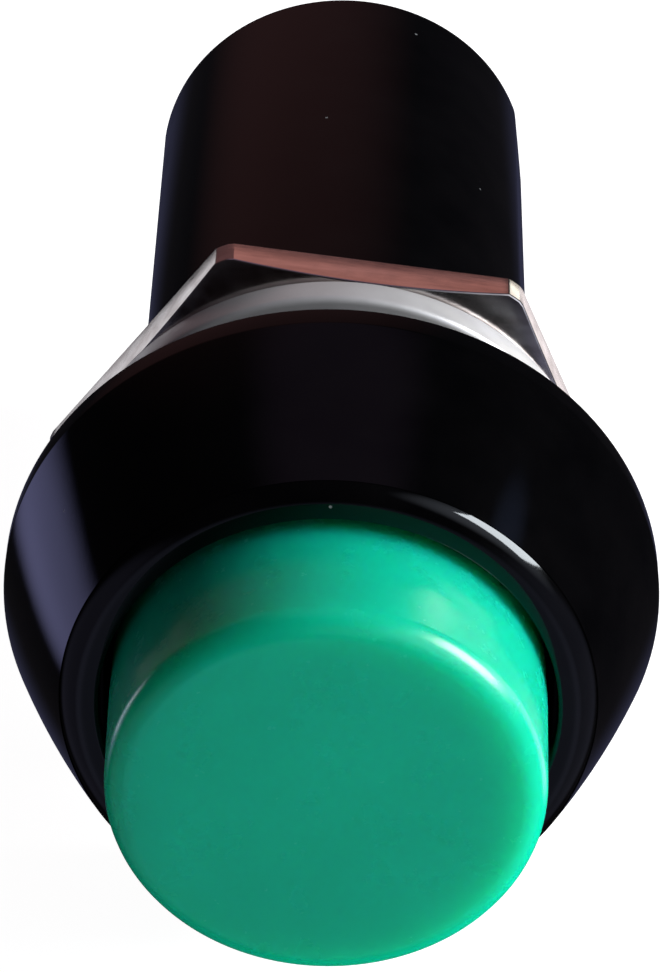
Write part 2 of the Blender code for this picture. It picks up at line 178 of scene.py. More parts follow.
EYELET_RADIUS = 0.65 * MM
EYELET_FROM_END = 1.7 * MM

SEGMENTS = 192
NUT_SEGMENTS = 288
BASE_SEGMENTS = 128
SEAT_SEGMENTS = 96
SMALL_SEGMENTS = 64
SIDES = (("left", -1), ("right", 1))


# ---------------------------------------------------------------- shape helpers

def rounded(corners, closed=False, steps=5):
    """A profile whose corners (radius, y, rounding) are replaced by arcs of that rounding."""
    count = len(corners)
    points = []
    for index, (r, y, rounding) in enumerate(corners):
        here = Vector((r, y))
        at_end = index in (0, count - 1) and not closed
        if rounding <= 0 or at_end:
            points.append((r, y))
            continue
        before = (Vector(corners[index - 1][:2]) - here).normalized()
        after = (Vector(corners[(index + 1) % count][:2]) - here).normalized()
        half = before.angle(after) / 2
        reach = rounding / math.tan(half)
        centre = here + (before + after).normalized() * (rounding / math.sin(half))
        start = here + before * reach - centre
        end = here + after * reach - centre
        turn = start.angle_signed(end)
        for step in range(steps + 1):
            arm = start.copy()
            arm.rotate(Matrix.Rotation(-turn * step / steps, 2))
            points.append(tuple(centre + arm))
    return points


def finish_mesh(obj, sharp_deg=32):
    obj.data.update()
    obj.data.shade_smooth()
    obj.data.set_sharp_from_angle(angle=math.radians(sharp_deg))
    return obj


def new_object(name, mesh):
    obj = bpy.data.objects.new(name, mesh)
    bpy.context.scene.collection.objects.link(obj)
    return obj


def lathe(name, profile, closed=True, segments=SEGMENTS, centre_x=0.0, warp=None):
    """Sweeps a (radius, y) profile round the Y axis.

    warp(radius, y, angle) gives a new radius and a shift along Y.
    """
    rows = []
    verts = []
    for r, y in profile:
        if r < TINY:
            rows.append([len(verts)] * segments)
            verts.append((centre_x, y, 0.0))
            continue
        row = []
        for step in range(segments):
            angle = FULL_TURN * step / segments
            radius, shift = (r, 0.0) if warp is None else warp(r, y, angle)
            row.append(len(verts))
            verts.append((centre_x + radius * math.cos(angle), y + shift, radius * math.sin(angle)))
        rows.append(row)
    faces = []
    pairs = list(zip(rows, rows[1:]))
    if closed:
        pairs.append((rows[-1], rows[0]))
    for upper, lower in pairs:
        for step in range(segments):
            after = (step + 1) % segments
            quad = [upper[step], upper[after], lower[after], lower[step]]
            face = [v for i, v in enumerate(quad) if v not in quad[:i]]
            if len(face) > 2:
                faces.append(face)
    mesh = bpy.data.meshes.new(name)
    mesh.from_pydata(verts, [], faces)
    return finish_mesh(outward(new_object(name, mesh)))


def outward(obj):
    """Turns the faces of a closed mesh outwards."""
    bm = bmesh.new()
    bm.from_mesh(obj.data)
    bmesh.ops.recalc_face_normals(bm, faces=bm.faces)
    if bm.calc_volume(signed=True) < 0:
        bmesh.ops.reverse_faces(bm, faces=bm.faces)
    bm.to_mesh(obj.data)
    bm.free()
    return obj


def apply_modifiers(obj):
    graph = bpy.context.evaluated_depsgraph_get()
    graph.update()
    mesh = bpy.data.meshes.new_from_object(obj.evaluated_get(graph))
    obj.modifiers.clear()
    obj.data = mesh
    return obj


def boolean(obj, other, operation="DIFFERENCE"):
    """Cuts or joins at once, and removes the other object."""
    cut = obj.modifiers.new("cut", "BOOLEAN")
    cut.operation = operation
    cut.object = other
    apply_modifiers(obj)
    bpy.data.objects.remove(other)
    return obj


def bevel(obj, width, segments=2, angle_deg=30):
    soft = obj.modifiers.new("edges", "BEVEL")
    soft.width = width
    soft.segments = segments
    soft.limit_method = "ANGLE"
    soft.angle_limit = math.radians(angle_deg)
    soft.harden_normals = False
    return apply_modifiers(obj)


def rod(name, radius, front, rear, centre=(0.0, 0.0), segments=SMALL_SEGMENTS):
    """A plain cylinder along Y, for cutting holes."""
    mesh = bpy.data.meshes.new(name)
    bm = bmesh.new()
    middle = Matrix.Translation((centre[0], (front + rear) / 2, centre[1]))
    lie = middle @ Matrix.Rotation(QUARTER_TURN, 4, "X")
    bmesh.ops.create_cone(bm, cap_ends=True, segments=segments, radius1=radius, radius2=radius,
                          depth=rear - front, matrix=lie)
    bm.to_mesh(mesh)
    bm.free()
    return new_object(name, mesh)


def plate(name, loop, front, thickness):
    """A flat piece facing the front: a closed loop of (x, z) points, thickened along Y."""
    mesh = bpy.data.meshes.new(name)
    bm = bmesh.new()
    face = bm.faces.new([bm.verts.new((x, front, z)) for x, z in loop])
    made = bmesh.ops.extrude_face_region(bm, geom=[face])
    moved = [v for v in made["geom"] if isinstance(v, bmesh.types.BMVert)]
    bmesh.ops.translate(bm, vec=(0, thickness, 0), verts=moved)
    bmesh.ops.recalc_face_normals(bm, faces=bm.faces)
    bm.to_mesh(mesh)
    bm.free()
    return new_object(name, mesh)


def arc_points(radius, start, end, steps, centre=(0.0, 0.0)):
    """Points (x, z) along an arc from one angle to another."""
    return [(centre[0] + radius * math.cos(start + (end - start) * i / steps),
             centre[1] + radius * math.sin(start + (end - start) * i / steps)) for i in range(steps + 1)]


def tube(name, path, radius, sides=12):
    """A round wire along a path of points, with closed ends."""
    verts = []
    path = [Vector(p) for p in path]
    for index, point in enumerate(path):
        ahead = path[min(index + 1, len(path) - 1)] - path[max(index - 1, 0)]
        ahead.normalize()
        out = Vector((point.x, 0, point.z)).normalized()
        out = (out - ahead * out.dot(ahead)).normalized()
        across = ahead.cross(out)
        for side in range(sides):
            angle = FULL_TURN * side / sides
            verts.append(point + radius * (math.cos(angle) * out + math.sin(angle) * across))
    faces = []
    for ring in range(len(path) - 1):
        for side in range(sides):
            after = (side + 1) % sides
            a = ring * sides
            b = a + sides
            faces.append([a + side, a + after, b + after, b + side])
    faces.append(list(range(sides)))
    faces.append([len(verts) - sides + side for side in range(sides)])
    mesh = bpy.data.meshes.new(name)
    mesh.from_pydata(verts, [], faces)
    return finish_mesh(outward(new_object(name, mesh)), 50)


def coil_path(radius, wire, turns, front, rear, steps=40):
    """The centreline of a compression spring, with a closed turn at each end."""
    dead = 0.75
    rise = 2.2 * wire
    low = front + wire
    high = rear - wire
    path = []
    for index in range(int(turns * steps) + 1):
        turn = index / steps
        if turn < dead:
            y = low + rise * turn
        elif turn > turns - dead:
            y = high - rise * (turns - turn)
        else:
            share = (turn - dead) / (turns - 2 * dead)
            y = low + rise * dead + (high - low - 2 * rise * dead) * share
        path.append((radius * math.cos(FULL_TURN * turn), y, radius * math.sin(FULL_TURN * turn)))
    return path


def finished(obj, look, node, body):
    """Gives a piece its material, and puts it in the frame in place of its CAD node."""
    obj.data.materials.clear()
    obj.data.materials.append(look)
    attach(obj, body)
    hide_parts(node)
    return obj


# ---------------------------------------------------------------- materials

class Nodes:
    """A small helper that adds and links the nodes of one material."""

    def __init__(self, name):
        self.material = bpy.data.materials.new(name)
        self.material.use_nodes = True
        self.tree = self.material.node_tree
        self.shader = self.tree.nodes["Principled BSDF"]
        where = self.add("ShaderNodeTexCoord")
        scaled = self.add("ShaderNodeVectorMath", operation="SCALE")
        scaled.inputs["Scale"].default_value = 1 / MM
        self.link(where.outputs["Object"], scaled.inputs[0])
        self.millimetres = scaled.outputs[0]

    def add(self, kind, **settings):
        node = self.tree.nodes.new(kind)
        for key, value in settings.items():
            setattr(node, key, value)
        return node

    def link(self, a, b):
        self.tree.links.new(a, b)

    def set(self, **values):
        for key, value in values.items():
            self.shader.inputs[key.replace("_", " ")].default_value = value

    def noise(self, scale, detail=3.0, roughness=0.5, stretch=(1, 1, 1)):
        """A noise value whose features are about 1 / scale millimetres across."""
        source = self.millimetres
        if stretch != (1, 1, 1):
            mapping = self.add("ShaderNodeMapping")
            mapping.inputs["Scale"].default_value = stretch
            self.link(source, mapping.inputs["Vector"])
            source = mapping.outputs["Vector"]
        noise = self.add("ShaderNodeTexNoise")
        noise.inputs["Scale"].default_value = scale
        noise.inputs["Detail"].default_value = detail
        noise.inputs["Roughness"].default_value = roughness
        self.link(source, noise.inputs["Vector"])
        return noise.outputs["Fac"]

    def remap(self, value, low, high, from_low=0.3, from_high=0.7):
        span = self.add("ShaderNodeMapRange")
        span.inputs["From Min"].default_value = from_low
        span.inputs["From Max"].default_value = from_high
        span.inputs["To Min"].default_value = low
        span.inputs["To Max"].default_value = high
        self.link(value, span.inputs["Value"])
        return span.outputs["Result"]

    def mix(self, factor, first, second):
        mix = self.add("ShaderNodeMix", data_type="RGBA")
        self.link(factor, mix.inputs["Factor"])
        for socket, value in ((mix.inputs["A"], first), (mix.inputs["B"], second)):
            if isinstance(value, tuple):
                socket.default_value = (*value, 1.0)
            else:
                self.link(value, socket)
        return mix.outputs["Result"]

    def specks(self, scale, size):
        """1 inside sparse small dots, 0 elsewhere."""
        cells = self.add("ShaderNodeTexVoronoi")
        cells.inputs["Scale"].default_value = scale
        self.link(self.millimetres, cells.inputs["Vector"])
        return self.remap(cells.outputs["Distance"], 1.0, 0.0, size * 0.7, size)

    def bump(self, height, strength, distance, normal=None):
        bump = self.add("ShaderNodeBump")
        bump.inputs["Strength"].default_value = strength
        bump.inputs["Distance"].default_value = distance
        self.link(height, bump.inputs["Height"])
        if normal is not None:
            self.link(normal, bump.inputs["Normal"])
        return bump.outputs["Normal"]

    def colour(self, value):
        self.link(value, self.shader.inputs["Base Color"])

    def roughness(self, value):
        self.link(value, self.shader.inputs["Roughness"])

    def normal(self, value):
        self.link(value, self.shader.inputs["Normal"])


def green_plastic():
    n = Nodes("green_plastic")
    base = n.mix(n.remap(n.noise(0.35, 4), 0, 1), (0.0010, 0.400, 0.245), (0.0016, 0.430, 0.265))
    n.colour(n.mix(n.specks(0.45, 0.018), base, (0.16, 0.52, 0.40)))
    n.roughness(n.remap(n.noise(1.2, 4, 0.6), 0.22, 0.29))
    n.set(Subsurface_Weight=1.0, Subsurface_Radius=(0.15, 1.0, 0.65), Subsurface_Scale=0.0032)
    n.set(IOR=1.5)
    n.normal(n.bump(n.noise(5.0, 3), 0.05, 0.00001))
    return n.material


def black_plastic():
    n = Nodes("black_plastic")
    dust = n.specks(0.55, 0.028)
    base = n.mix(n.remap(n.noise(0.5, 4), 0, 1), (0.0003, 0.0003, 0.0004), (0.0009, 0.0008, 0.0009))
    n.colour(n.mix(dust, base, (0.10, 0.10, 0.10)))
    n.roughness(n.remap(n.noise(0.9, 5, 0.6), 0.055, 0.09))
    n.set(IOR=1.5, Specular_IOR_Level=0.27)
    grain = n.bump(n.noise(9.0, 3), 0.05, 0.00001)
    n.normal(n.bump(n.noise(0.5, 2, 0.5), 0.05, 0.00005, grain))
    return n.material


def plated_metal(name, first, second, low, high, stretch=(1, 1, 1), bump=0.12, metallic=1.0, drift=0.45):
    """A metal with a slight colour drift, uneven gloss and fine tool marks."""
    n = Nodes(name)
    n.colour(n.mix(n.remap(n.noise(drift, 4, 0.5, stretch), 0, 1), first, second))
    n.roughness(n.remap(n.noise(1.6, 5, 0.65), low, high))
    n.set(Metallic=metallic)
    n.normal(n.bump(n.noise(7.0, 4, 0.6, stretch), bump, 0.00002))
    return n.material


def white_nylon():
    n = Nodes("white_nylon")
    n.colour(n.mix(n.remap(n.noise(0.5, 4), 0, 1), (0.70, 0.69, 0.63), (0.79, 0.78, 0.73)))
    n.roughness(n.remap(n.noise(1.5, 4), 0.38, 0.52))
    n.set(Subsurface_Weight=0.2, Subsurface_Radius=(1.0, 0.9, 0.7), Subsurface_Scale=0.001)
    n.normal(n.bump(n.noise(12.0, 3), 0.1, 0.00001))
    return n.material


def brown_phenolic():
    n = Nodes("brown_phenolic")
    mottled = n.mix(n.remap(n.noise(2.6, 6, 0.7), 0, 1), (0.055, 0.020, 0.010), (0.130, 0.052, 0.024))
    n.colour(n.mix(n.specks(2.2, 0.16), mottled, (0.17, 0.085, 0.045)))
    n.roughness(n.remap(n.noise(2.0, 4), 0.32, 0.5))
    n.normal(n.bump(n.noise(10.0, 4), 0.2, 0.00002))
    return n.material


LOOKS = {
    "green_plastic": green_plastic(),
    "black_plastic": black_plastic(),
    "white_nylon": white_nylon(),
    "brown_phenolic": brown_phenolic(),
    "nickel_plate": plated_metal("nickel_plate", (0.80, 0.76, 0.73), (0.50, 0.44, 0.41), 0.14, 0.26,
                                 (0.10, 1, 1), 0.10, drift=1.8),
    "washer_plate": plated_metal("washer_plate", (0.58, 0.58, 0.58), (0.48, 0.47, 0.47), 0.30, 0.45,
                                 metallic=0.45),
    "steel": plated_metal("steel", (0.55, 0.55, 0.56), (0.48, 0.48, 0.50), 0.22, 0.36),
    "spring_steel": plated_metal("spring_steel", (0.46, 0.46, 0.47), (0.38, 0.37, 0.37), 0.18, 0.32),
    "brass": plated_metal("brass", (0.76, 0.54, 0.23), (0.66, 0.44, 0.17), 0.18, 0.34),
    "tinned_brass": plated_metal("tinned_brass", (0.70, 0.68, 0.63), (0.60, 0.57, 0.50), 0.20, 0.42,
                                 (1, 0.12, 1), 0.08),
    "silver": plated_metal("silver", (0.83, 0.82, 0.79), (0.74, 0.72, 0.68), 0.16, 0.30),
}


# ---------------------------------------------------------------- the housing

def thread_ridge(phase):
    """Height of a 60 degree thread, 0 to 1, where phase runs from 0 to 1 along one pitch."""
    flank = THREAD_DEPTH * math.tan(THREAD_HALF_ANGLE) / THREAD_PITCH
    root = 1 - 2 * flank - THREAD_CREST
    phase = phase % 1.0
    if phase < root:
        return 0.0
    if phase < root + flank:
        return (phase - root) / flank
    if phase < root + flank + THREAD_CREST:
        return 1.0
    return (1.0 - phase) / flank


def housing_warp(r, y, angle):
    """Winds the thread round the neck, and takes the two side flats off the neck and barrel."""
    outside = y > THREAD_START * 0.5 and r > 0.97 * (THREAD_RADIUS - THREAD_DEPTH)
    if not outside:
        return r, 0.0
    radius = r
    if THREAD_START < y < THREAD_END:
        fade = min(1.0, (y - THREAD_START) / THREAD_PITCH, (THREAD_END - y) / THREAD_PITCH)
        phase = (y - THREAD_START) / THREAD_PITCH - angle / FULL_TURN
        radius += THREAD_DEPTH * thread_ridge(phase) * fade
    sideways = abs(math.cos(angle - FLAT_TURN)) * radius
    if sideways > FLAT_DISTANCE and y > THREAD_START:
        radius *= FLAT_DISTANCE / sideways
    return radius, 0.0


def housing():
    """Bezel, neck and barrel in one profile: the outside from the rim to the rear, then the bores."""
    neck_root = THREAD_RADIUS - THREAD_DEPTH
    outer = [(WELL_RADIUS, RIM_FRONT, 0.12 * MM), (RIM_RADIUS + 0.02 * MM, RIM_FRONT, RIM_ROUND)]
    run = FLANGE_RADIUS - RIM_RADIUS
    drop = -FLANGE_EDGE - RIM_FRONT
    length = math.hypot(run, drop)
    cone = []
    for step in range(1, CONE_STEPS):
        share = step / CONE_STEPS
        swell = CONE_SWELL * 4 * share * (1 - share)
        cone.append((RIM_RADIUS + run * share + swell * drop / length,
                     RIM_FRONT + drop * share - swell * run / length, 0))
    outer += cone
    outer += [(FLANGE_RADIUS, -FLANGE_EDGE, 0.22 * MM), (FLANGE_RADIUS, 0, 0.14 * MM),
              (neck_root, 0, 0.1 * MM), (neck_root, THREAD_START, 0)]
    rows = int((THREAD_END - THREAD_START) / THREAD_PITCH * ROWS_PER_PITCH)
    outer += [(neck_root, THREAD_START + (THREAD_END - THREAD_START) * row / rows, 0)
              for row in range(1, rows)]
    outer += [(neck_root, THREAD_END, 0), (BARREL_RADIUS, THREAD_END + 0.1 * MM, 0.03 * MM),
              (BARREL_RADIUS, BARREL_END, 0.35 * MM)]
    inner = [(BASE_BORE, BARREL_END, 0.15 * MM), (BASE_BORE, BASE_SHOULDER, 0.05 * MM),
             (CHAMBER_RADIUS, BASE_SHOULDER, 0.08 * MM), (CHAMBER_RADIUS, WEB_REAR, 0.2 * MM),
             (WEB_HOLE, WEB_REAR, 0.06 * MM), (WEB_HOLE, WEB_FRONT, 0.06 * MM),
             (NECK_BORE, WEB_FRONT, 0.2 * MM), (NECK_BORE, WELL_FLOOR, 0.1 * MM),
             (WELL_RADIUS, WELL_FLOOR, 0.15 * MM)]
    profile = rounded(outer + inner, closed=True)
    made = lathe("housing_look", profile, warp=housing_warp)
    return finished(made, LOOKS["black_plastic"], "housing", "root")


# ---------------------------------------------------------------- washer and nut

def ring_look(node, body, slot, inner, rounding, segments=SEGMENTS, look=None):
    """A flat ring with rounded edges, as thick and wide as its CAD node."""
    front, rear = span_of(node)
    outer = radius_of(node)
    corners = [(inner, front, rounding), (outer, front, rounding), (outer, rear, rounding),
               (inner, rear, rounding)]
    made = lathe(f"{node}_look", rounded(corners, closed=True, steps=4), segments=segments)
    return finished(made, LOOKS[look or slot], node, body)


def hex_nut():
    """Rings of points whose outer ones follow the hexagon, so that the front chamfer meets it in arcs."""
    half = NUT_ACROSS_FLATS / 2
    corner_radius = half / math.cos(math.pi / 6) * NUT_CORNER_SHARE
    edge = 0.12 * MM
    rear_land = 0.06 * MM

    def hex_radius(angle):
        local = (angle - NUT_TURN - QUARTER_TURN + math.pi / 6) % (math.pi / 3) - math.pi / 6
        return min(half / math.cos(local), corner_radius)

    def follow_hexagon(r, y, angle):
        """Moves the rings near the flats out to the hexagon, and the front one back by the chamfer."""
        if abs(r - (half - rear_land)) < TINY:
            return hex_radius(angle) - rear_land, 0.0
        if abs(r - half) > TINY:
            return r, 0.0
        radius = hex_radius(angle)
        if y < NUT_FRONT + 0.3 * MM:
            return radius, max(0.0, radius - NUT_FACE_RADIUS) * math.tan(NUT_CHAMFER) - (y - NUT_FRONT)
        return radius, 0.0

    profile = [(NUT_BORE, NUT_FRONT + edge), (NUT_BORE + edge, NUT_FRONT),
               (NUT_FACE_RADIUS, NUT_FRONT), (half, NUT_FRONT + 0.1 * MM), (half, NUT_REAR - rear_land),
               (half - rear_land, NUT_REAR), (NUT_BORE + edge, NUT_REAR), (NUT_BORE, NUT_REAR - edge)]
    made = lathe("hex_nut_look", profile, segments=NUT_SEGMENTS, warp=follow_hexagon)
    bevel(made, 0.05 * MM, 2, 20)
    finish_mesh(made, 14)
    return finished(made, LOOKS["nickel_plate"], "hex_nut", "root")


# ---------------------------------------------------------------- cap, plunger and springs

def button_cap():
    """A hollow cap with a slightly crowned face, which widens a little from its face to the rim."""
    inner = PLUNGER_RADIUS + RUNNING_GAP
    ceiling = CAP_FACE + CAP_TOP_THICKNESS
    face = [(CAP_FACE_RADIUS * share, CAP_FACE + CAP_CROWN * share * share, 0)
            for share in (0.0, 0.25, 0.5, 0.75)]
    corners = face + [(CAP_FACE_RADIUS, CAP_FACE + CAP_CROWN, CAP_ROUND), (CAP_RADIUS, RIM_FRONT, 0.2 * MM),
                      (CAP_RADIUS, CAP_SKIRT, 0.12 * MM), (inner, CAP_SKIRT, 0.1 * MM),
                      (inner, ceiling, 0.2 * MM), (0, ceiling, 0)]
    made = lathe("button_cap_look", rounded(corners, steps=8), closed=False)
    return finished(made, LOOKS["green_plastic"], "button_cap", "button")


def clip_groove(node):
    front, rear = span_of(node)
    slack = 0.05 * MM
    return [(STEM_RADIUS, front - slack, 0.03 * MM), (GROOVE_RADIUS, front - slack, 0),
            (GROOVE_RADIUS, rear + slack, 0), (STEM_RADIUS, rear + slack, 0.03 * MM)]


def plunger():
    corners = [(0, PLUNGER_TOP, 0), (PLUNGER_RADIUS, PLUNGER_TOP, 0.3 * MM),
               (PLUNGER_RADIUS, PLUNGER_SKIRT, 0.12 * MM), (SKIRT_INNER, PLUNGER_SKIRT, 0.12 * MM),
               (SKIRT_INNER, SPRING_POCKET, 0.2 * MM), (STEM_RADIUS, SPRING_POCKET, 0.1 * MM)]
    corners += clip_groove("retaining_clip") + clip_groove("bridge_clip")
    corners += [(STEM_RADIUS, STEM_END, 0.3 * MM), (0, STEM_END, 0)]
    made = lathe("plunger_look", rounded(corners), closed=False, segments=SEAT_SEGMENTS)
    return finished(made, LOOKS["white_nylon"], "plunger", "button")


def spring(node, body, coil, wire, turns):
    """A coil with a closed turn at each end, along the span of its CAD node."""
    front, rear = span_of(node)
    made = tube(f"{node}_look", coil_path(coil, wire, turns, front, rear), wire)
    finished(made, LOOKS["spring_steel"], node, body)
    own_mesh(made)


def springs():
    spring("return_spring", "root", RETURN_COIL, RETURN_WIRE, RETURN_TURNS)
    spring("contact_spring", "button", CONTACT_COIL, CONTACT_WIRE, CONTACT_TURNS)


def clip(node):
    """An open C-shaped clip with softened edges."""
    front, rear = span_of(node)
    outer_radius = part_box(node)[1].x
    start = CLIP_HALF_SLOT - QUARTER_TURN
    end = FULL_TURN - CLIP_HALF_SLOT - QUARTER_TURN
    loop = arc_points(outer_radius, start, end, 64)
    loop += arc_points(GROOVE_RADIUS + SEAT_GAP, end, start, 40)
    made = plate(f"{node}_look", loop, front, rear - front)
    bevel(made, 0.05 * MM)
    return finished(finish_mesh(made), LOOKS["spring_steel"], node, "button")


# ---------------------------------------------------------------- contacts and terminals

def contact_bridge():
    half_width = 1.1 * MM
    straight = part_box("contact_bridge")[1].x - half_width
    loop = arc_points(half_width, -QUARTER_TURN, QUARTER_TURN, 24, (straight, 0.0))
    loop += arc_points(half_width, QUARTER_TURN, 3 * QUARTER_TURN, 24, (-straight, 0.0))
    thickness = BRIDGE_REAR - BRIDGE_FRONT
    made = plate("contact_bridge_look", loop, BRIDGE_FRONT, thickness)
    boolean(made, rod("eye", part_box("contact_bridge")[1].z, BRIDGE_FRONT, BRIDGE_REAR), "UNION")
    boolean(made, rod("bore", STEM_RADIUS + RUNNING_GAP, BRIDGE_FRONT - MM, BRIDGE_REAR + MM))
    bevel(made, 0.05 * MM)
    return finished(finish_mesh(made), LOOKS["brass"], "contact_bridge", "bridge")


def bridge_contacts():
    for side, sign in SIDES:
        node = f"bridge_contact_{side}"
        front, rear = span_of(node)
        radius = (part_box(node)[1].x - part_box(node)[0].x) / 2
        corners = [(0, front, 0), (radius, front, 0.04 * MM), (radius, rear, 0.2 * MM), (0, rear, 0)]
        made = lathe(f"{node}_look", rounded(corners), closed=False, segments=48, centre_x=sign * CONTACT_X)
        finished(made, LOOKS["silver"], node, "bridge")


def contact_rivets():
    for side, sign in SIDES:
        node = f"contact_rivet_{side}"
        front, rear = span_of(node)
        head = (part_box(node)[1].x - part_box(node)[0].x) / 2
        head_rear = BASE_FRONT - SEAT_GAP
        tail_front = rear - 0.35 * MM
        corners = [(0, front, 0), (0.55 * head, front, 0.3 * MM), (head, front + 0.25 * MM, 0.1 * MM),
                   (head, head_rear, 0.05 * MM), (RIVET_SHANK, head_rear, 0), (RIVET_SHANK, tail_front, 0),
                   (0.8 * MM, tail_front, 0.05 * MM), (0.76 * MM, rear - 0.12 * MM, 0.08 * MM),
                   (0.45 * MM, rear, 0.15 * MM), (0.25 * MM, rear - 0.14 * MM, 0.05 * MM),
                   (0, rear - 0.16 * MM, 0)]
        made = lathe(f"{node}_look", rounded(corners), closed=False, segments=56, centre_x=sign * CONTACT_X)
        finished(made, LOOKS["silver"], node, "root")


def terminal_base():
    """The plug that closes the barrel, with a blind recess for the stem and a hole for each rivet."""
    corners = [(0, BASE_RECESS_FLOOR, 0), (BASE_RECESS_RADIUS, BASE_RECESS_FLOOR, 0.15 * MM),
               (BASE_RECESS_RADIUS, BASE_FRONT, 0.08 * MM), (BASE_RADIUS, BASE_FRONT, 0.15 * MM),
               (BASE_RADIUS, BASE_REAR, 0.12 * MM), (0, BASE_REAR, 0)]
    made = lathe("terminal_base_look", rounded(corners), closed=False, segments=BASE_SEGMENTS)
    for _, sign in SIDES:
        boolean(made, rod("hole", RIVET_HOLE, BASE_FRONT - MM, BASE_REAR + MM, (sign * CONTACT_X, 0.0)))
    return finished(finish_mesh(made), LOOKS["brown_phenolic"], "terminal_base", "root")


def solder_terminal(side, sign):
    """A strip bent through a right angle: a foot under the rivet, and a round-ended blade with an eyelet."""
    node = f"solder_terminal_{side}"
    low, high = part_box(node)
    half_width = high.z
    inner_x = min(abs(low.x), abs(high.x))
    outer_x = max(abs(low.x), abs(high.x))
    middle_x = inner_x + TERMINAL_THICKNESS / 2
    middle_y = low.y + TERMINAL_THICKNESS / 2
    bend_x = middle_x + TERMINAL_BEND
    bend_y = middle_y + TERMINAL_BEND
    tip_start = high.y - half_width
    line = [(outer_x - step / FOOT_STEPS * (outer_x - middle_x - TERMINAL_BEND), middle_y)
            for step in range(FOOT_STEPS)]
    for step in range(BEND_STEPS + 1):
        angle = QUARTER_TURN * step / BEND_STEPS
        line.append((bend_x - TERMINAL_BEND * math.sin(angle), bend_y - TERMINAL_BEND * math.cos(angle)))
    line += [(middle_x, bend_y + (tip_start - middle_y - TERMINAL_BEND) * step / BLADE_STEPS)
             for step in range(1, BLADE_STEPS + 1)]
    widths = [half_width] * len(line)
    for step in range(1, TIP_STEPS + 1):
        angle = QUARTER_TURN * step / TIP_STEPS
        line.append((middle_x, tip_start + half_width * math.sin(angle)))
        widths.append(half_width * max(math.cos(angle), 0.02))
    across = 9
    verts = []
    for (x, y), width in zip(line, widths):
        verts += [(sign * x, y, width * (2 * i / (across - 1) - 1)) for i in range(across)]
    faces = []
    for row in range(len(line) - 1):
        for i in range(across - 1):
            a = row * across + i
            faces.append([a, a + 1, a + across + 1, a + across])
    mesh = bpy.data.meshes.new(f"{node}_look")
    mesh.from_pydata(verts, [], faces)
    made = new_object(f"{node}_look", mesh)
    thick = made.modifiers.new("thick", "SOLIDIFY")
    thick.thickness = TERMINAL_THICKNESS
    thick.offset = 0
    apply_modifiers(made)
    outward(made)
    boolean(made, rod("rivet", RIVET_HOLE, low.y - MM, low.y + TERMINAL_THICKNESS + MM,
                      (sign * CONTACT_X, 0.0)))
    eye = rod("eyelet", EYELET_RADIUS, -1.5 * MM, 1.5 * MM)
    eye.data.transform(Matrix.Translation((sign * middle_x, high.y - EYELET_FROM_END, 0))
                       @ Matrix.Rotation(QUARTER_TURN, 4, "Z"))
    boolean(made, eye)
    bevel(made, 0.04 * MM, 2, 40)
    return finished(finish_mesh(made), LOOKS["tinned_brass"], node, "root")


# ---------------------------------------------------------------- stage

# The camera, with places in flange radii
CAMERA_DISTANCE = 14.58
CAMERA_ELEVATION = math.radians(34.54)
CAMERA_ROLL = 0.0277
CAMERA_LENS = 176.1
AIM_RIGHT = -0.006
AIM_REAR = 0.56


def camera():
    """A long lens in front of the cap, above the button's axis and slightly rolled."""
    away = CAMERA_DISTANCE * FLANGE_RADIUS
    aim = Vector((AIM_RIGHT * FLANGE_RADIUS, AIM_REAR * FLANGE_RADIUS, 0))
    data = bpy.data.cameras.new("camera")
    data.lens = CAMERA_LENS
    data.sensor_width = 36
    data.clip_start = 0.005
    data.clip_end = 10
    obj = bpy.data.objects.new("camera", data)
    obj.location = (0, -away * math.cos(CAMERA_ELEVATION), away * math.sin(CAMERA_ELEVATION))
    look = (aim - obj.location).to_track_quat("-Z", "Y")
    obj.rotation_mode = "QUATERNION"
    obj.rotation_quaternion = look @ Quaternion((0, 0, 1), CAMERA_ROLL)
    bpy.context.scene.collection.objects.link(obj)
    bpy.context.scene.camera = obj


def soft_light(name, place, target, width, height, radiance, colour, reached):
    """A soft rectangular light that faces a point and lights the given pieces only."""
    data = bpy.data.lights.new(name, "AREA")
    data.shape = "RECTANGLE"
    data.size = width
    data.size_y = height
    data.energy = radiance * math.pi * width * height
    data.color = colour
    obj = bpy.data.objects.new(name, data)
    obj.location = place
    obj.rotation_mode = "QUATERNION"
    obj.rotation_quaternion = (Vector(target) - obj.location).to_track_quat("-Z", "Y")
    obj.visible_camera = False
    bpy.context.scene.collection.objects.link(obj)
    receivers = bpy.data.collections.new(f"{name}_receivers")
    for piece in reached:
        receivers.objects.link(piece)
    obj.light_linking.receiver_collection = receivers


FLOOR_HALF_WIDTH = 1.5
FLOOR_SEEN = 0.97
BACKDROP_SEEN = (0.95, 0.95, 0.96, 1)


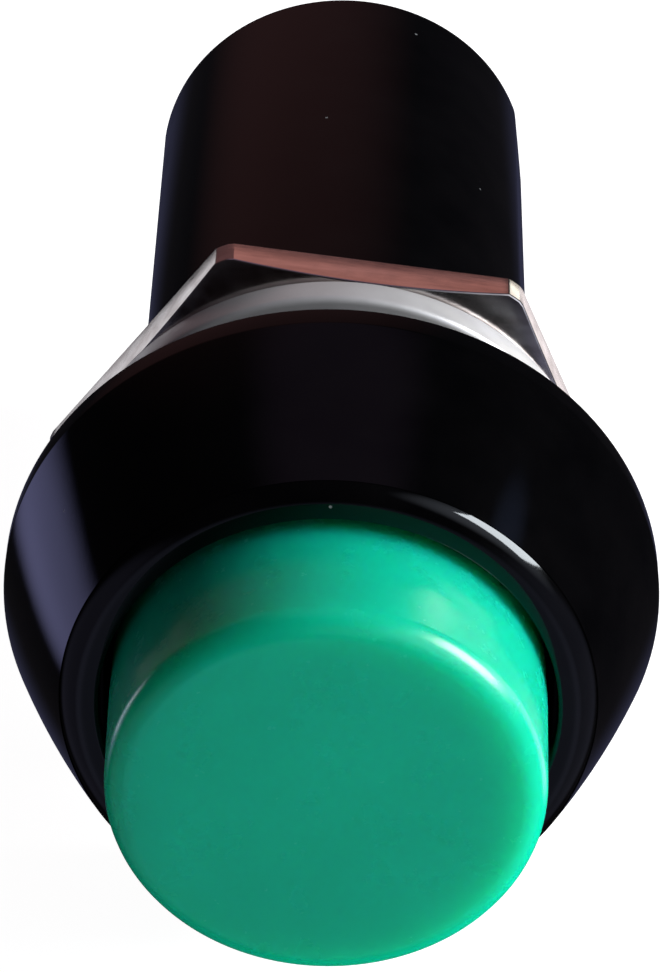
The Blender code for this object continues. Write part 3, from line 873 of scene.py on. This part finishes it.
def floor():
    """A pale floor, even to the camera. What it sheds on the button is brighter to the right."""
    mesh = bpy.data.meshes.new("floor")
    bm = bmesh.new()
    bmesh.ops.create_grid(bm, x_segments=1, y_segments=1, size=FLOOR_HALF_WIDTH)
    bm.to_mesh(mesh)
    bm.free()
    obj = new_object("floor", mesh)
    obj.location.z = CAD_BOUNDS[0].z - 0.1 * MM
    obj.visible_glossy = False
    n = Nodes("pale_floor")
    n.colour(n.mix(n.remap(n.noise(0.05, 2), 0, 1), (0.30, 0.30, 0.30), (0.32, 0.32, 0.32)))
    n.roughness(n.remap(n.noise(0.2, 2), 0.55, 0.65))
    n.set(Emission_Color=(1, 1, 1, 1))
    across = n.add("ShaderNodeSeparateXYZ")
    n.link(n.millimetres, across.inputs[0])
    path = n.add("ShaderNodeLightPath")
    glow = n.add("ShaderNodeMix")
    n.link(path.outputs["Is Camera Ray"], glow.inputs["Factor"])
    n.link(n.remap(across.outputs["X"], 0.20, 1.30, -6, 12), glow.inputs["A"])
    glow.inputs["B"].default_value = FLOOR_SEEN
    n.link(glow.outputs["Result"], n.shader.inputs["Emission Strength"])
    obj.data.materials.append(n.material)


# Soft patches of the room: direction, full within and gone beyond these degrees, and colour.
ROOM = (
    ((0, 0.24, 0.97), 10, 30, (0.13, 0.09, 0.14)),
    ((-0.83, 0.49, -0.26), 4, 18, (0.66, 0.67, 1.30)),
    ((0, -0.82, -0.57), 15, 30, (0.18, 0.20, 0.30)),
    ((0.72, -0.50, -0.48), 24, 42, (0.18, 0.19, 0.28)),
    ((-0.72, -0.50, -0.48), 24, 42, (0.16, 0.16, 0.25)),
    ((0.72, -0.50, 0.48), 0, 32, (1.1, 1.2, 1.4)),
    ((0.86, 0.22, 0.46), 0, 8, (0.14, 0.19, 0.36)),
    ((-0.30, 0.82, 0.48), 0, 40, (0.12, 0.05, 0.05)),
    ((0, 0.80, -0.60), 8, 28, (0.02, 0.022, 0.05)),
)
ROOM_DARK = (0.014, 0.013, 0.016)


def room():
    """The room round the object: dark, with a few soft patches. Seen directly, it is plain and pale."""
    world = bpy.data.worlds.new("studio")
    world.use_nodes = True
    tree = world.node_tree
    background = tree.nodes["Background"]
    direction = tree.nodes.new("ShaderNodeTexCoord").outputs["Generated"]
    total = None
    for toward, full, gone, colour in ROOM:
        dot = tree.nodes.new("ShaderNodeVectorMath")
        dot.operation = "DOT_PRODUCT"
        dot.inputs[1].default_value = Vector(toward).normalized()
        tree.links.new(direction, dot.inputs[0])
        fade = tree.nodes.new("ShaderNodeMapRange")
        fade.interpolation_type = "SMOOTHSTEP"
        fade.inputs["From Min"].default_value = math.cos(math.radians(gone))
        fade.inputs["From Max"].default_value = math.cos(math.radians(full))
        tree.links.new(dot.outputs["Value"], fade.inputs["Value"])
        patch = tree.nodes.new("ShaderNodeVectorMath")
        patch.operation = "MULTIPLY_ADD"
        patch.inputs[0].default_value = colour
        tree.links.new(fade.outputs["Result"], patch.inputs[1])
        if total is None:
            patch.inputs[2].default_value = ROOM_DARK
        else:
            tree.links.new(total, patch.inputs[2])
        total = patch.outputs["Vector"]
    path = tree.nodes.new("ShaderNodeLightPath")
    seen = tree.nodes.new("ShaderNodeMix")
    seen.data_type = "RGBA"
    tree.links.new(path.outputs["Is Camera Ray"], seen.inputs["Factor"])
    tree.links.new(total, seen.inputs["A"])
    seen.inputs["B"].default_value = BACKDROP_SEEN
    tree.links.new(seen.outputs["Result"], background.inputs["Color"])
    bpy.context.scene.world = world


MIDDLE = (0, 0, 0)
TERMINAL_END = ("terminal_base", "rear_ring", "terminal_left", "terminal_right")

# Each light: name, place, what it faces, width, height, radiance, colour, and the pieces that it
# reaches, where None is every piece but the housing and the nut. under_rim stands in the gap
# between flange and washer, and back_left and back_low stand close behind the nut.
LIGHTS = (
    ("window", (0.267, -0.010, 0.146), MIDDLE, 0.16, 0.16, 23, (0.97, 0.98, 1.0), None),
    ("rim_window", (0.260, -0.073, 0.144), MIDDLE, 0.20, 0.15, 30, (0.88, 0.95, 1.0), ("housing",)),
    ("nut_window", (0.267, -0.010, 0.146), MIDDLE, 0.16, 0.16, 3, (0.97, 0.98, 1.0), ("hex_nut",)),
    ("cap_glare", (0.264, 0.12, -0.045), MIDDLE, 0.15, 0.28, 2.3, (0.97, 0.98, 1.0), ("button_cap",)),
    ("cap_fill", (0.08, -0.27, 0.105), MIDDLE, 0.20, 0.20, 0.2, (0.97, 0.98, 1.0), ("button_cap",)),
    ("cap_spot", (0.144, 0.247, 0.092), MIDDLE, 0.055, 0.065, 5.0, (1, 1, 0.97), ("button_cap",)),
    ("cap_band", (0.165, 0.247, 0.030), MIDDLE, 0.07, 0.09, 1.2, (1, 0.98, 0.80), ("button_cap",)),
    ("cap_low_band", (0.143, 0.25, -0.085), MIDDLE, 0.10, 0.12, 0.45, (1, 1, 1), ("button_cap",)),
    ("cap_left", (-0.255, 0.150, -0.060), MIDDLE, 0.06, 0.10, 2.6, (0.90, 1, 1), ("button_cap",)),
    ("back_right", (0.165, 0.25, 0.050), MIDDLE, 0.11, 0.10, 1.7, (1, 0.96, 0.86),
     ("hex_nut", "panel_washer")),
    ("back_left", (-0.030, 0.042, -0.002), (-0.005, 0, 0.003), 0.018, 0.020, 0.75, (0.94, 0.94, 1),
     ("button_cap", "hex_nut", "panel_washer")),
    ("back_low", (0.0167, 0.0254, -0.004), (0.006, 0.005, 0.003), 0.014, 0.012, 1.1, (1, 0.93, 0.94),
     ("hex_nut", "panel_washer")),
    ("under_rim", (0.0070, 0.0012, 0.0050), (0.0054, 0.0042, 0.0053), 0.004, 0.004, 1.3,
     (1, 0.97, 0.84), ("panel_washer",)),
    ("back_top", (-0.015, 0.26, 0.18), MIDDLE, 0.12, 0.10, 0.22, (0.95, 0.95, 1), ("panel_washer",)),
    ("behind", (0.09, 0.26, 0.10), (0, 0.02, 0), 0.20, 0.16, 2.0, (1, 1, 1), TERMINAL_END),
    ("warm_wall", (0.022, 0.25, 0.165), MIDDLE, 0.09, 0.12, 0.40, (1, 0.42, 0.36), ("hex_nut",)),
)


def lights(pieces):
    own_window = (pieces["housing"], pieces["hex_nut"])
    others = [obj for obj in bpy.data.objects if obj.type == "MESH" and obj not in own_window]
    for *settings, names in LIGHTS:
        soft_light(*settings, [pieces[name] for name in names] if names else others)


def build():
    """Makes every piece, and returns those that the lights need by name."""
    pieces = {
        "button_cap": button_cap(),
        "hex_nut": hex_nut(),
        "panel_washer": ring_look("panel_washer", "root", "nickel_plate", NUT_BORE, 0.18 * MM,
                                  look="washer_plate"),
        "housing": housing(),
    }
    plunger()
    ring_look("spring_seat", "root", "steel", WEB_HOLE + RUNNING_GAP, 0.06 * MM, SEAT_SEGMENTS)
    ring_look("contact_washer", "button", "steel", STEM_RADIUS + SEAT_GAP, 0.05 * MM,
              SEAT_SEGMENTS)
    pieces["rear_ring"] = ring_look("rear_ring", "root", "steel", REAR_RING_BORE, 0.08 * MM, BASE_SEGMENTS)
    springs()
    clip("retaining_clip")
    clip("bridge_clip")
    contact_bridge()
    bridge_contacts()
    contact_rivets()
    pieces["terminal_base"] = terminal_base()
    for side, sign in SIDES:
        pieces[f"terminal_{side}"] = solder_terminal(side, sign)
    return pieces


camera()
room()
floor()
lights(build())
bpy.context.scene.view_settings.view_transform = "Standard"
